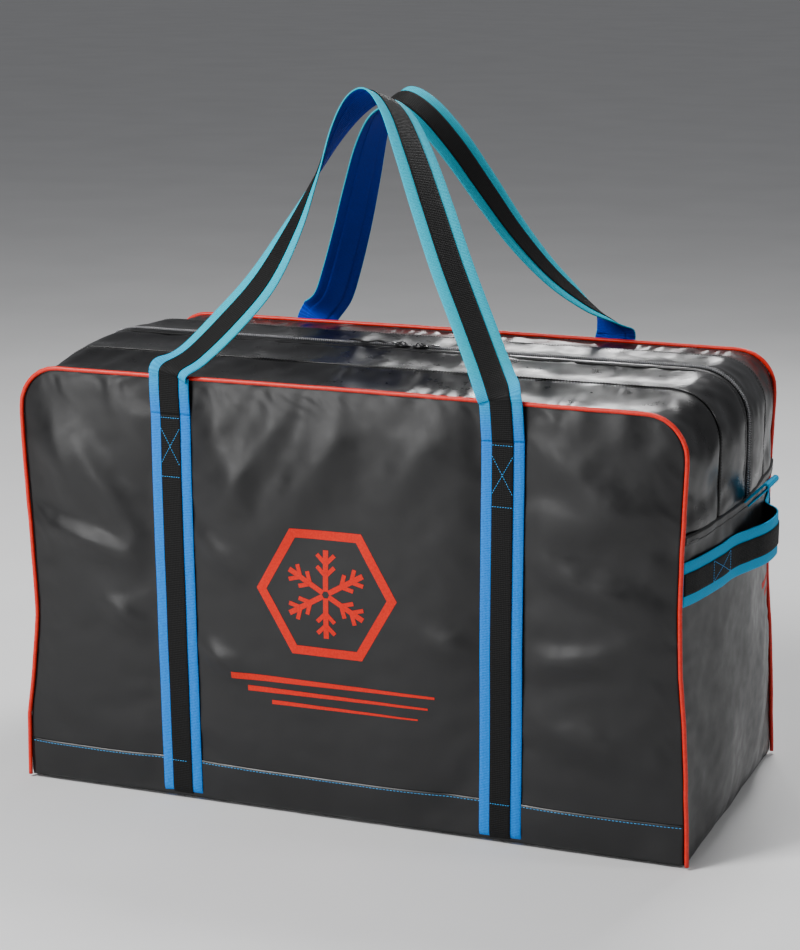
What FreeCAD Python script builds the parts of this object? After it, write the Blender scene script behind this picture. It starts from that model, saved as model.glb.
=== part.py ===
import FreeCAD, Part
import os
from FreeCAD import Vector

# A stuffed hockey equipment carry bag in millimetres. +X to the bag's right end, +Y to its back,
# +Z up, the origin under the middle of the bag on the surface that it stands on.

# Driving dimensions of the bag
half_length = 402.0      # middle to the side seam of the front and back panels
half_depth = 203.0       # middle to the outer face of the front and back panels
shoulder = 507.0         # height of the front and back panels' top edge
wall = 2.5               # coated fabric with its seam allowance
corner_radius = 48.0     # top corners of the front and back panels
clearance = 0.1          # between layers that are sewn together
body_gap = 0.4           # between pieces that move against each other

# Top and ends
inner_seam_y = 105.0     # seam between the outer band and the zip panel
inner_seam_reach = 411.0  # half length of the bag at that seam
inner_seam_height = 518.0
inner_seam_radius = 56.0
zip_edge_y = 9.0         # folded edge of the zip panel beside the teeth
zip_edge_reach = 415.7
zip_edge_height = 523.5
zip_edge_radius = 60.0
end_reach = 416.0        # half length of the bag in the middle of its ends
end_edge_reach = 402.2   # half length of the bag at the ends' vertical seams
end_edge_y = 200.4
hem_height = 372.0       # top of the lower end panels
hem_lip = 6.0            # how far the double-stitched hem reaches above and below that height
hem_thickness = 1.8
flap_half_length = 350.0  # stretch of the zip panels that lifts as a flap

# Bottom panel, turned up over the front and back
base_height = 3.6
base_turn_up = 48.0
base_half_depth = 205.7
base_radius = 12.0
panel_start = 16.0       # lower edge of the front and back panels, inside the turn-up

# Piping
piping_radius = 2.5
piping_stand = 2.8       # from the panel's edge to the middle of the piping
piping_y = 204.0
piping_foot = 6.0

# Webbing
strap_width = 50.0
strap_thickness = 2.2
stripe_width = 25.0
stripe_thickness = 1.2
strap_places = (-209.0, 193.0)
strap_top = 463.0        # upper line of the box stitch
carry_root = 466.0       # where the free carry handle starts
strap_steps = 3          # lofted spans between two stations of a strap

# Grab handles on the ends
grab_height = 322.0      # middle of the webbing
grab_arch = (0.0, 84.0)  # stretch along Y that stands free and swings

# Zipper
tape_y = 20.0
tape_thickness = 0.8
teeth_radius = 1.6
teeth_y = 2.3            # middle of each row of teeth
tape_edge_y = 4.1
tape_slope = 0.8         # fall of the flap's underside across the tape
slider_length = 20.0
slider_places = (-3.0, 19.0)
slider_back = 0.45       # half of the web that parts the two rows
slider_front = 9.6
slider_floor = 517.5     # underside of a slider's lower plate
slider_plate = 1.6
slider_roof = 524.3      # underside of a slider's upper plate
bridge_height = 5.0
bridge_half_length = 5.0
bridge_thickness = 2.0
bridge_window = 3.0      # half length and height of the opening under the bridge
pull_y = -4.6
pull_thickness = 1.6
pull_length = 26.0
pull_width = 8.0
pull_arm = 2.2           # width of each arm beside the pull's eye
pull_eye = 9.0           # how far the eye reaches from the crossbar
ribbon_length = 44.0
ribbon_width = 7.0

# Tab at each end of the zipper
tab_length = 34.0
tab_root = (421.0, 0.0, 374.0)
tab_slot = 1.6
tab_angle = 45.0         # of the zip tabs above level

# Stations of the carry handles: middle of the webbing, then the direction across it
front_handle_route = (
    ((-209, -207, carry_root), (-1, 0, 0)),
    ((-209, -209.5, 505), (-1, 0, 0)),
    ((-205, -209, 519), (-1, 0, 0)),
    ((-186, -190, 534), (-0.87, 0.43, 0.24)),
    ((-158, -162, 568), (-0.85, 0.43, 0.31)),
    ((-128, -130, 612), (-0.87, 0.44, 0.21)),
    ((-105, -100, 666), (-0.78, 0.62, 0)),
    ((-88, -68, 722), (-0.51, 0.83, -0.24)),
    ((-73, -38, 774), (-0.14, 0.91, -0.39)),
    ((-52, -23, 809), (0.16, 0.9, -0.41)),
    ((-26, -24, 820), (0.31, 0.89, -0.32)),
    ((4, -41, 802), (0.49, 0.86, -0.16)),
    ((36, -70, 760), (0.66, 0.75, 0)),
    ((71, -104, 704), (0.76, 0.64, 0.12)),
    ((107, -138, 644), (0.78, 0.61, 0.15)),
    ((144, -168, 585), (0.78, 0.6, 0.13)),
    ((173, -193, 540), (0.84, 0.53, 0.1)),
    ((188, -209, 519), (1, 0, 0)),
    ((191, -209.5, 505), (1, 0, 0)),
    ((193, -207, carry_root), (1, 0, 0)),
)
back_handle_route = (
    ((-209, 207, carry_root), (-1, 0, 0)),
    ((-208, 209.5, 505), (-1, 0, 0)),
    ((-200, 209, 519), (-1, 0, 0)),
    ((-175, 192, 543), (-0.87, -0.46, 0.16)),
    ((-154, 171, 581), (-0.83, -0.54, 0.11)),
    ((-126, 139, 640), (-0.77, -0.63, 0.02)),
    ((-99, 106, 702), (-0.67, -0.73, -0.09)),
    ((-73, 73, 759), (-0.51, -0.84, -0.2)),
    ((-47, 46, 799), (-0.33, -0.89, -0.32)),
    ((-20, 32, 813), (-0.24, -0.87, -0.43)),
    ((10, 32, 798), (-0.27, -0.82, -0.51)),
    ((40, 50, 759), (-0.29, -0.79, -0.54)),
    ((68, 78, 707), (-0.24, -0.81, -0.54)),
    ((98, 110, 650), (-0.08, -0.84, -0.53)),
    ((131, 141, 600), (0.13, -0.87, -0.48)),
    ((164, 169, 563), (0.37, -0.87, -0.33)),
    ((188, 194, 538), (0.72, -0.68, -0.1)),
    ((196, 209, 519), (1, 0, 0)),
    ((194, 209.5, 505), (1, 0, 0)),
    ((193, 207, carry_root), (1, 0, 0)),
)
# Route of a grab handle: place along the end panel, then how far the webbing stands off it
grab_route = (
    (-199, 1.8), (-150, 1.6), (-100, 1.6), (-60, 1.7), (-25, 9), (0, 16),
    (30, 21.5), (58, 23), (80, 18), (96, 8), (112, 1.7), (155, 1.6), (199, 1.8),
)


def end_surface(y):
    """How far the end of the bag reaches along X at y."""
    bulge = end_reach - end_edge_reach
    return end_edge_reach + bulge * (1 - (y / end_edge_y) ** 2)


def box(x, y, z):
    """A block between the pairs of limits x, y and z."""
    size = (x[1] - x[0], y[1] - y[0], z[1] - z[0])
    return Part.makeBox(*size, Vector(x[0], y[0], z[0]))


def mirrored(shape, axis):
    """The shape's mirror image across the plane through the origin square to axis."""
    return shape.mirror(Vector(0, 0, 0), axis)


def to_back(shape):
    return mirrored(shape, Vector(0, 1, 0))


def to_left(shape):
    return mirrored(shape, Vector(1, 0, 0))


def arc(start, middle, end):
    return Part.Arc(start, middle, end).toShape()


def line(start, end):
    return Part.LineSegment(start, end).toShape()


def corner(centre, radius, first, second):
    """A quarter turn about centre, from the direction first to the direction second."""
    half_way = (first + second).normalize()
    return arc(centre + first * radius, centre + half_way * radius, centre + second * radius)


def arch_edges(y, reach, height, radius, foot):
    """Edges of an upside-down U in the plane at y, from its left foot over to its right foot."""
    left, up, right = Vector(-1, 0, 0), Vector(0, 0, 1), Vector(1, 0, 0)
    left_centre = Vector(-reach + radius, y, height - radius)
    right_centre = Vector(reach - radius, y, height - radius)
    return [
        line(Vector(-reach, y, foot), left_centre + left * radius),
        corner(left_centre, radius, left, up),
        line(left_centre + up * radius, right_centre + up * radius),
        corner(right_centre, radius, up, right),
        line(right_centre + right * radius, Vector(reach, y, foot)),
    ]


def ends_of(edges):
    points = [vertex.Point for vertex in Part.Wire(edges).OrderedVertexes]
    return points[0], points[-1]


def thin_wire(outer, inner):
    """A closed wire from two open runs of edges that lie side by side."""
    outer_start, outer_end = ends_of(outer)
    inner_start, inner_end = ends_of(inner)
    return Part.Wire(outer + [line(outer_end, inner_end)] + inner[::-1] + [line(inner_start, outer_start)])


def face_panel():
    """The front panel: upright, with rounded top corners."""
    edges = arch_edges(-half_depth, half_length, shoulder, corner_radius, panel_start)
    start, end = ends_of(edges)
    outline = Part.Wire(edges + [line(end, start)])
    return Part.Face(outline).extrude(Vector(0, wall, 0))


def base_outline(offset):
    """Edges of the upright U around the bottom, offset outwards, from the front top to the back top."""
    half = base_half_depth + offset
    low = base_height - offset
    radius = base_radius + offset
    front, down, back = Vector(0, -1, 0), Vector(0, 0, -1), Vector(0, 1, 0)
    front_centre = Vector(0, -half + radius, low + radius)
    back_centre = Vector(0, half - radius, low + radius)

    def edges(top):
        return [
            line(Vector(0, -half, top), front_centre + front * radius),
            corner(front_centre, radius, front, down),
            line(front_centre + down * radius, back_centre + down * radius),
            corner(back_centre, radius, down, back),
            line(back_centre + back * radius, Vector(0, half, top)),
        ]
    return edges


def wrap_under(x_limits, top, inner_offset, outer_offset):
    """A layer of even thickness that runs down the front, under the bag and up the back."""
    wire = thin_wire(base_outline(outer_offset)(top), base_outline(inner_offset)(top))
    layer = Part.Face(wire).extrude(Vector(x_limits[1] - x_limits[0], 0, 0))
    layer.translate(Vector(x_limits[0], 0, 0))
    return layer


def end_arc(offset, z):
    """The bulging line of the right end seen from above, offset outwards, front to back."""
    return arc(
        Vector(end_edge_reach + offset, -end_edge_y, z),
        Vector(end_reach + offset, 0, z),
        Vector(end_edge_reach + offset, end_edge_y, z),
    )


def end_wall(inner_offset, outer_offset, low, high):
    """A curved wall that follows the right end between two heights."""
    outer = end_arc(outer_offset, low)
    inner = end_arc(inner_offset, low)
    sides = [
        line(outer.Vertexes[-1].Point, inner.Vertexes[-1].Point),
        line(inner.Vertexes[0].Point, outer.Vertexes[0].Point),
    ]
    return Part.Face(Part.Wire([outer, sides[0], inner, sides[1]])).extrude(Vector(0, 0, high - low))


def bottom_panel():
    channel = wrap_under((-end_reach, end_reach), base_turn_up, -wall, 0)
    right = end_arc(-wall - clearance, 0)
    left = to_left(right)
    reach = base_half_depth + wall
    x = end_edge_reach - wall - clearance
    edges = [
        line(Vector(x, -reach, 0), Vector(x, -end_edge_y, 0)),
        right,
        line(Vector(x, end_edge_y, 0), Vector(x, reach, 0)),
        line(Vector(x, reach, 0), Vector(-x, reach, 0)),
        line(Vector(-x, reach, 0), Vector(-x, end_edge_y, 0)),
        left,
        line(Vector(-x, -end_edge_y, 0), Vector(-x, -reach, 0)),
        line(Vector(-x, -reach, 0), Vector(x, -reach, 0)),
    ]
    plan = Part.Face(Part.Wire(Part.__sortEdges__(edges))).extrude(Vector(0, 0, base_turn_up))
    return channel.common(plan)


def end_panel():
    """The lower end panel, with its double-stitched hem folded over the zip panels' ends."""
    panel = end_wall(-wall, 0, base_height + body_gap, hem_height - clearance)
    lip = end_wall(0, hem_thickness, hem_height - hem_lip, hem_height + hem_lip)
    return panel.fuse(lip).removeSplitter()


def outer_band():
    """The front band between the piping and the inner seam, over the top and down both ends."""
    foot = hem_height
    rims = []
    for y, reach, height, radius in (
        (-end_edge_y, end_edge_reach, shoulder, corner_radius),
        (-inner_seam_y - clearance, inner_seam_reach, inner_seam_height, inner_seam_radius),
    ):
        outer = arch_edges(y, reach, height, radius, foot)
        inner = arch_edges(y, reach - wall, height - wall, radius - wall, foot)
        rims.append(thin_wire(outer, inner))
    return Part.makeLoft(rims, True, True)


def flap_section(depth):
    """Outline of the lifting flap in the plane x = 0, depth being its thickness."""
    hinge = Vector(0, -inner_seam_y + body_gap, inner_seam_height)
    edge = Vector(0, -zip_edge_y, zip_edge_height)
    down = Vector(0, 0, -depth)
    return Part.makePolygon([hinge, edge, edge + down, hinge + down, hinge])


def flap():
    sheet = Part.Face(flap_section(wall)).extrude(Vector(2 * flap_half_length, 0, 0))
    sheet.translate(Vector(-flap_half_length, 0, 0))
    return sheet


def zip_panel_end(y_rims, thickness, drop):
    """A strip of the right end's zip panel or tape: the top, the rounded corner and the end.

    y_rims are the strip's two edges; drop is how far it lies inside the zip panel's face.
    """
    rims = []
    for y in y_rims:
        share = (inner_seam_y - abs(y)) / (inner_seam_y - zip_edge_y)
        reach = inner_seam_reach + share * (zip_edge_reach - inner_seam_reach) - drop
        height = inner_seam_height + share * (zip_edge_height - inner_seam_height) - drop
        radius = inner_seam_radius + share * (zip_edge_radius - inner_seam_radius) - drop
        start = flap_half_length + body_gap
        lines = []
        for inset in (0, thickness):
            centre = Vector(reach - radius, y, height - radius)
            turn = radius - inset
            right, up = Vector(1, 0, 0), Vector(0, 0, 1)
            lines.append([
                line(Vector(start, y, height - inset), centre + up * turn),
                corner(centre, turn, up, right),
                line(centre + right * turn, Vector(reach - inset, y, hem_height)),
            ])
        rims.append(thin_wire(*lines))
    return Part.makeLoft(rims, True, True)


def tape_height():
    """Height of the tape's lower face, under the flap's edge."""
    return zip_edge_height - wall - clearance - tape_thickness


def teeth_height():
    return tape_height() + teeth_radius


def flap_tape():
    return box(
        (-flap_half_length, flap_half_length),
        (-tape_y, -tape_edge_y),
        (tape_height() - tape_slope, tape_height() - tape_slope + tape_thickness),
    )


def flap_teeth():
    start = Vector(-flap_half_length, -teeth_y, teeth_height())
    return Part.makeCylinder(teeth_radius, 2 * flap_half_length, start, Vector(1, 0, 0))


def swept_tube(edges, radius, start, direction):
    ring = Part.Wire(Part.makeCircle(radius, start, direction))
    return Part.Wire(edges).makePipeShell([ring], True, True)


def end_teeth():
    """The front row of teeth round the top right corner and down the end."""
    drop = wall + clearance + tape_thickness - teeth_radius
    reach = zip_edge_reach - drop
    height = teeth_height()
    radius = zip_edge_radius - drop
    start = Vector(flap_half_length + body_gap, -teeth_y, height)
    centre = Vector(reach - radius, -teeth_y, height - radius)
    right, up = Vector(1, 0, 0), Vector(0, 0, 1)
    edges = [
        line(start, centre + up * radius),
        corner(centre, radius, up, right),
        line(centre + right * radius, Vector(reach, -teeth_y, hem_height)),
    ]
    return swept_tube(edges, teeth_radius, start, right)


def piping():
    """Round piping along the front panel's side seams and top seam."""
    stand = piping_stand
    reach = half_length + stand
    edges = arch_edges(-piping_y, reach, shoulder + stand, corner_radius + stand, piping_foot)
    return swept_tube(edges, piping_radius, Vector(-reach, -piping_y, piping_foot), Vector(0, 0, 1))


def blended(values, place):
    """A smooth curve through evenly spaced values, at a place counted in stations."""
    last = len(values) - 1
    index = min(int(place), last - 1)
    t = place - index
    before = values[max(index - 1, 0)]
    start, end = values[index], values[index + 1]
    after = values[min(index + 2, last)]
    return (
        start * 2
        + (end - before) * t
        + (before * 2 - start * 5 + end * 4 - after) * t ** 2
        + (start * 3 - before - end * 3 + after) * t ** 3
    ) * 0.5


def webbing(middles, across, side, limits, half_width, inner, outer):
    """Flat webbing along a smooth route, from inner to outer off its middle surface.

    middles and across are the route's stations, side is 1 where the face away from the bag is
    on the left of the route, and limits are the first and last place, counted in stations.
    """
    spans = max(1, round((limits[1] - limits[0]) * strap_steps))
    sections = []
    for number in range(spans + 1):
        place = limits[0] + (limits[1] - limits[0]) * number / spans
        nudge = 0.05
        ahead = blended(middles, min(place + nudge, len(middles) - 1))
        behind = blended(middles, max(place - nudge, 0))
        along = (ahead - behind).normalize()
        width = blended(across, place)
        width = (width - along * width.dot(along)).normalize() * half_width
        normal = along.cross(width).normalize() * side
        middle = blended(middles, place)
        corners = [
            middle + width + normal * inner,
            middle - width + normal * inner,
            middle - width + normal * outer,
            middle + width + normal * outer,
        ]
        sections.append(Part.makePolygon(corners + corners[:1]))
    return Part.makeLoft(sections, True, True)


def strap_and_stripe(middles, across, side, limits):
    """The wide webbing and the narrow ribbed webbing sewn along its outer face."""
    half = strap_thickness / 2
    strap = webbing(middles, across, side, limits, strap_width / 2, -half, half)
    low = half + clearance
    stripe = webbing(middles, across, side, limits, stripe_width / 2, low, low + stripe_thickness)
    return strap, stripe


def carry_handle(route, side):
    middles = [Vector(*middle) for middle, width in route]
    across = [Vector(*width) for middle, width in route]
    return strap_and_stripe(middles, across, side, (0, len(route) - 1))


def grab_handle():
    """The right grab handle's swinging arch, then its sewn ends, each as webbing and stripe.

    The cuts between them are square to the line that the arch turns about.
    """
    middles = [Vector(end_surface(y) + stand, y, grab_height) for y, stand in grab_route]
    across = [Vector(0, 0, 1)] * len(middles)
    front, back = grab_arch
    swinging = box((0, 2 * end_reach), (front + body_gap, back - body_gap), (0, shoulder))
    standing = [
        box((0, 2 * end_reach), (-half_depth, front), (0, shoulder)),
        box((0, 2 * end_reach), (back, half_depth), (0, shoulder)),
    ]
    whole = strap_and_stripe(middles, across, 1, (0, len(middles) - 1))
    arch = [layer.common(swinging) for layer in whole]
    ends = [Part.makeCompound([layer.common(side) for side in standing]) for layer in whole]
    return arch, ends


def zip_tab():
    """A short loop of webbing folded in two, standing out and up from the end of the zipper."""
    half_slot = tab_slot / 2
    outer = half_slot + strap_thickness
    shape = box((0, tab_length - outer), (-strap_width / 2, strap_width / 2), (-outer, outer))
    nose = Part.makeCylinder(
        outer, strap_width, Vector(tab_length - outer, -strap_width / 2, 0), Vector(0, 1, 0)
    )
    slot = box(
        (strap_thickness, tab_length - outer),
        (-strap_width, strap_width),
        (-half_slot, half_slot),
    )
    bend = Part.makeCylinder(
        half_slot, 2 * strap_width, Vector(tab_length - outer, -strap_width, 0), Vector(0, 1, 0)
    )
    tab = shape.fuse(nose).cut(slot).cut(bend).removeSplitter()
    tab.translate(Vector(outer, 0, 0))
    tab.rotate(Vector(0, 0, 0), Vector(0, 1, 0), -tab_angle)
    tab.translate(Vector(*tab_root))
    return tab


def slider(x):
    """A zip slider: two plates, the web between the rows of teeth, and the bridge for its pull."""
    along = (x - slider_length / 2, x + slider_length / 2)
    across = (-slider_front, slider_back)
    top = slider_roof + slider_plate
    lower = box(along, across, (slider_floor, slider_floor + slider_plate))
    upper = box(along, across, (slider_roof, top))
    web = box(along, (-slider_back, slider_back), (slider_floor, top))
    half = bridge_thickness / 2
    bridge = box(
        (x - bridge_half_length, x + bridge_half_length),
        (pull_y - half, pull_y + half),
        (top, top + bridge_height),
    )
    window = box(
        (x - bridge_window, x + bridge_window),
        (pull_y - bridge_thickness, pull_y + bridge_thickness),
        (top, top + bridge_window),
    )
    return lower.fuse([upper, web, bridge.cut(window)]).removeSplitter()


def pull_pivot_height():
    return slider_roof + slider_plate + bridge_window / 2


def pull(x, way):
    """A zip pull lying flat: a crossbar in the bridge, two arms and a tab, way being 1 or -1."""
    z = pull_pivot_height()
    half = pull_thickness / 2
    half_width = pull_width / 2
    bar = Part.makeCylinder(half, pull_width, Vector(x, pull_y - half_width, z), Vector(0, 1, 0))
    reach = sorted((x, x + way * pull_length))
    plate = box(reach, (pull_y - half_width, pull_y + half_width), (z - half, z + half))
    eye_limits = sorted((x - way * pull_thickness, x + way * pull_eye))
    eye_half = half_width - pull_arm
    eye = box(eye_limits, (pull_y - eye_half, pull_y + eye_half), (z - half, z + half))
    return plate.cut(eye).fuse(bar).removeSplitter()


def pull_ribbon(x):
    """The cloth ribbon tied to the left pull."""
    start = x - pull_length
    half_width = ribbon_width / 2
    z = pull_pivot_height()
    half = tape_thickness
    return box(
        (start - ribbon_length, start - clearance / 2),
        (pull_y - half_width, pull_y + half_width),
        (z - half, z + half),
    )


def build():
    """Every piece of the bag by name."""
    pieces = {}
    pieces["front_panel"] = face_panel()
    pieces["bottom_panel"] = bottom_panel()
    pieces["right_end_panel"] = end_panel()
    pieces["front_outer_band"] = outer_band()
    pieces["front_piping"] = piping()

    pieces["front_flap"] = flap()
    right_end = zip_panel_end((-inner_seam_y + clearance, -zip_edge_y), wall, 0)
    pieces["front_zip_panel_ends"] = Part.makeCompound([right_end, to_left(right_end)])
    pieces["front_zip_tape"] = flap_tape()
    pieces["front_zip_teeth"] = flap_teeth()
    tape_drop = wall + clearance
    right_tape = zip_panel_end((-tape_y, -tape_edge_y), tape_thickness, tape_drop)
    pieces["front_zip_tape_ends"] = Part.makeCompound([right_tape, to_left(right_tape)])
    right_teeth = end_teeth()
    pieces["front_zip_teeth_ends"] = Part.makeCompound([right_teeth, to_left(right_teeth)])

    for name in [name for name in pieces if name.startswith("front_")]:
        pieces[name.replace("front_", "back_")] = to_back(pieces[name])
    pieces["left_end_panel"] = to_left(pieces["right_end_panel"])

    outer_face = clearance + strap_thickness
    for name, x in zip(("left", "right"), strap_places):
        strap_x = (x - strap_width / 2, x + strap_width / 2)
        stripe_x = (x - stripe_width / 2, x + stripe_width / 2)
        pieces[name + "_strap"] = wrap_under(strap_x, strap_top, clearance, outer_face)
        stripe_out = outer_face + clearance + stripe_thickness
        pieces[name + "_strap_stripe"] = wrap_under(stripe_x, strap_top, outer_face + clearance, stripe_out)

    for name, route, side in (
        ("front_handle", front_handle_route, 1),
        ("back_handle", back_handle_route, -1),
    ):
        pieces[name], pieces[name + "_stripe"] = carry_handle(route, side)

    (arch, arch_stripe), (ends, ends_stripe) = grab_handle()
    tab = zip_tab()
    for side, place in (("right", lambda shape: shape), ("left", to_left)):
        pieces[side + "_grab_handle"] = place(arch)
        pieces[side + "_grab_handle_stripe"] = place(arch_stripe)
        pieces[side + "_grab_ends"] = place(ends)
        pieces[side + "_grab_ends_stripe"] = place(ends_stripe)
        pieces[side + "_zip_tab"] = place(tab)

    for name, x, way in zip(("left", "right"), slider_places, (-1, 1)):
        pieces[name + "_slider"] = slider(x)
        pieces[name + "_pull"] = pull(x, way)
    pieces["pull_ribbon"] = pull_ribbon(slider_places[0])
    return pieces


os.makedirs("parts", exist_ok=True)
for node, shape in build().items():
    shape.exportStep("parts/" + node + ".step")
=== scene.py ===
import math

import bpy
import numpy as np
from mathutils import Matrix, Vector, noise
from mathutils.bvhtree import BVHTree


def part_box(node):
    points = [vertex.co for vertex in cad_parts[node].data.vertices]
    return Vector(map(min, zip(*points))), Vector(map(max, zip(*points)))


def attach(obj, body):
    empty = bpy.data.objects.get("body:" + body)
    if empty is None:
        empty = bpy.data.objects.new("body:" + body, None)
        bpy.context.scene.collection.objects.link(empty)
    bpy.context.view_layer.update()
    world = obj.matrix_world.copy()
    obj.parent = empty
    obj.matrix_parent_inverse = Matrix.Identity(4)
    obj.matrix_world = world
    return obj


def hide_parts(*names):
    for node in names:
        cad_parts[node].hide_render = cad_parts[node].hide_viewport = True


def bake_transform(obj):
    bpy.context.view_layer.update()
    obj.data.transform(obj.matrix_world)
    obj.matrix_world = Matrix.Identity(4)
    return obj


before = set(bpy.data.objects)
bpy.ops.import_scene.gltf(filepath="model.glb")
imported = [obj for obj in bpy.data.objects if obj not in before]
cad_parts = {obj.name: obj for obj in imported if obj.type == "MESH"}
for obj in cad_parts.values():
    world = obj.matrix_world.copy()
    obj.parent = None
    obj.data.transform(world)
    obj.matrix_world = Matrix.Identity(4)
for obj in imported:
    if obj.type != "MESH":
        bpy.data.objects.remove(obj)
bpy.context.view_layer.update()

# A stuffed hockey carry bag, in metres. +X to its right end, +Y to its back, +Z up.
# The shell is one lofted cloth, sagged and wrinkled, then cut into its panels along the seams.

# Sizes that come from the frame
half_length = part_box("front_panel")[1].x
half_depth = -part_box("front_panel")[0].y
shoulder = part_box("front_panel")[1].z
seam_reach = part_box("front_outer_band")[1].x
seam_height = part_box("front_outer_band")[1].z
seam_y = -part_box("front_outer_band")[1].y
hem_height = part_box("front_outer_band")[0].z
zip_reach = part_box("front_zip_panel_ends")[1].x
zip_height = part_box("front_zip_panel_ends")[1].z
zip_edge = -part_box("front_zip_panel_ends")[1].y
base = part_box("bottom_panel")[0].z
turn_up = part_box("bottom_panel")[1].z
strap_low, strap_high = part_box("left_strap")
strap_width = strap_high.x - strap_low.x
strap_places = [(low.x + high.x) / 2 for low, high in (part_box("left_strap"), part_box("right_strap"))]
box_top = strap_high.z
stripe_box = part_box("left_strap_stripe")
stripe_width = stripe_box[1].x - stripe_box[0].x
grab_low, grab_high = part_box("right_grab_handle")
grab_middle = (grab_low.z + grab_high.z) / 2

# Radii of the rounded top corners, at the piping, the inner seam and the zipper
corner_radii = {half_depth: 0.048, seam_y: 0.056, zip_edge: 0.060}
cloth_thickness = 0.0009
webbing_thickness = 0.0022
stripe_thickness = 0.0012
stripe_rise = (webbing_thickness + stripe_thickness) / 2
inner_band_thickness = 0.0006
stitch_inset = 0.0005    # from the stripe's edge to the threads beside it
end_painted_light = 0.6     # painted light: share of the lit cyan tint on the webbing on the ends, between azure and cyan
handle_root_y = 0.2068   # just behind the carry handle's root
straight_reach = zip_reach - corner_radii[zip_edge]    # of the zipper's straight stretch
# Where rays start, well outside the ends, and well outside the front and back
far_x, far_y = 0.6, 0.3
cell = 0.0125            # of the simulated cloth
cloth_frames = 20
cloth_cap = 0.006        # how far the simulation may move a point
subdivisions = 2
fold_height = 3.6        # scales every broad fold

# How far each side seam of the front and back stands out of the straight line, by height
left_seam_waist = ((0, 0.006), (0.08, 0.005), (0.14, -0.004), (0.21, -0.011), (0.30, -0.007),
                   (0.42, 0.0), (0.52, 0.002))
right_seam_waist = ((0, 0.006), (0.10, 0.002), (0.17, -0.002), (0.22, -0.007), (0.29, -0.010),
                    (0.36, -0.009), (0.45, -0.006), (0.52, -0.004))
# Broad folds in the front panel, and turned round in the back one: two ends (x, z), width, and
# height outwards before fold_height scales it
front_folds = (
    ((-0.385, 0.470), (-0.315, 0.330), 0.022, 0.0030),
    ((-0.335, 0.440), (-0.262, 0.315), 0.016, 0.0026),
    ((-0.380, 0.325), (-0.250, 0.288), 0.014, 0.0030),
    ((-0.300, 0.240), (-0.255, 0.205), 0.014, 0.0022),
    ((-0.170, 0.490), (-0.110, 0.330), 0.026, 0.0026),
    ((-0.060, 0.495), (-0.150, 0.345), 0.020, 0.0018),
    ((0.030, 0.495), (-0.090, 0.330), 0.026, 0.0022),
    ((0.120, 0.480), (0.050, 0.370), 0.024, 0.0018),
    ((-0.175, 0.330), (-0.120, 0.285), 0.010, 0.0020),
    ((-0.175, 0.195), (-0.120, 0.165), 0.010, 0.0024),
    ((0.100, 0.240), (0.155, 0.215), 0.014, 0.0016),
    ((0.235, 0.460), (0.335, 0.395), 0.020, 0.0022),
    ((0.230, 0.375), (0.370, 0.400), 0.024, 0.0018),
    ((0.235, 0.330), (0.360, 0.290), 0.018, 0.0020),
    ((0.225, 0.215), (0.320, 0.235), 0.014, 0.0022),
    ((0.235, 0.150), (0.345, 0.120), 0.022, 0.0016),
    ((0.375, 0.130), (0.395, 0.060), 0.008, 0.0020),
)


def smooth_step(values, start, end):
    t = np.clip((np.asarray(values, float) - start) / (end - start), 0, 1)
    return t * t * (3 - 2 * t)


def at_height(table, z):
    return np.interp(z, [point[0] for point in table], [point[1] for point in table])


def rough(points, scale, seed):
    """Smooth seeded noise from -1 to 1 at each point."""
    shift = Vector((seed * 3.1, seed * 1.7, seed * 2.3))
    return np.array([noise.noise(Vector(point) * scale + shift) for point in points])


def distance_to_line(points, start, end):
    """Distance from each 2-D point to a line's stretch, and the share of the way along it."""
    start, end = np.array(start), np.array(end)
    along = end - start
    share = np.clip((points - start) @ along / (along @ along), 0, 1)
    nearest = start + share[:, None] * along
    return np.linalg.norm(points - nearest, axis=1), share


# ---------------------------------------------------------------- the lofted shell

lower_rows = round((hem_height - base) / cell)
upper_rows = 7
corner_rows = 7
side_rows = lower_rows + upper_rows + corner_rows + 1
top_columns = round(2 * (half_length - corner_radii[half_depth]) / cell)


def depth_stations():
    """Places across the bag, from front to back, with one on every seam."""
    outer = np.linspace(half_depth, seam_y, 9)[:-1]
    inner = np.linspace(seam_y, zip_edge, 9)
    half = np.concatenate([outer, inner])
    return np.concatenate([-half, [0.0], half[::-1]])


def ring_sizes(y):
    """Reach, height and corner radius of the bag's outline at y."""
    places = [0, zip_edge, seam_y, half_depth]
    radii = [corner_radii[zip_edge], corner_radii[zip_edge], corner_radii[seam_y], corner_radii[half_depth]]
    reach = np.interp(abs(y), places, [zip_reach, zip_reach, seam_reach, half_length])
    height = np.interp(abs(y), places, [zip_height, zip_height, seam_height, shoulder])
    return reach, height, np.interp(abs(y), places, radii)


def side_point(row, side, y):
    """A point of the end of the bag, side being -1 on the left and 1 on the right."""
    reach, height, radius = ring_sizes(y)
    if row <= lower_rows:
        x, z = reach, base + (hem_height - base) * row / lower_rows
    elif row <= lower_rows + upper_rows:
        share = (row - lower_rows) / upper_rows
        x, z = reach, hem_height + (height - radius - hem_height) * share
    else:
        angle = math.pi / 2 * (row - lower_rows - upper_rows) / corner_rows
        x, z = reach - radius + radius * math.cos(angle), height - radius + radius * math.sin(angle)
    waist = at_height(left_seam_waist if side < 0 else right_seam_waist, z)
    near_seam = (abs(y) / half_depth) ** 2
    belly = 0.005 * math.exp(-((z - 0.13) / 0.09) ** 2) * (1 - near_seam)
    foot = -0.010 * math.exp(-z / 0.018) * (1 - near_seam)
    return Vector((side * (x + waist * near_seam + belly + foot), y, z))


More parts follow.
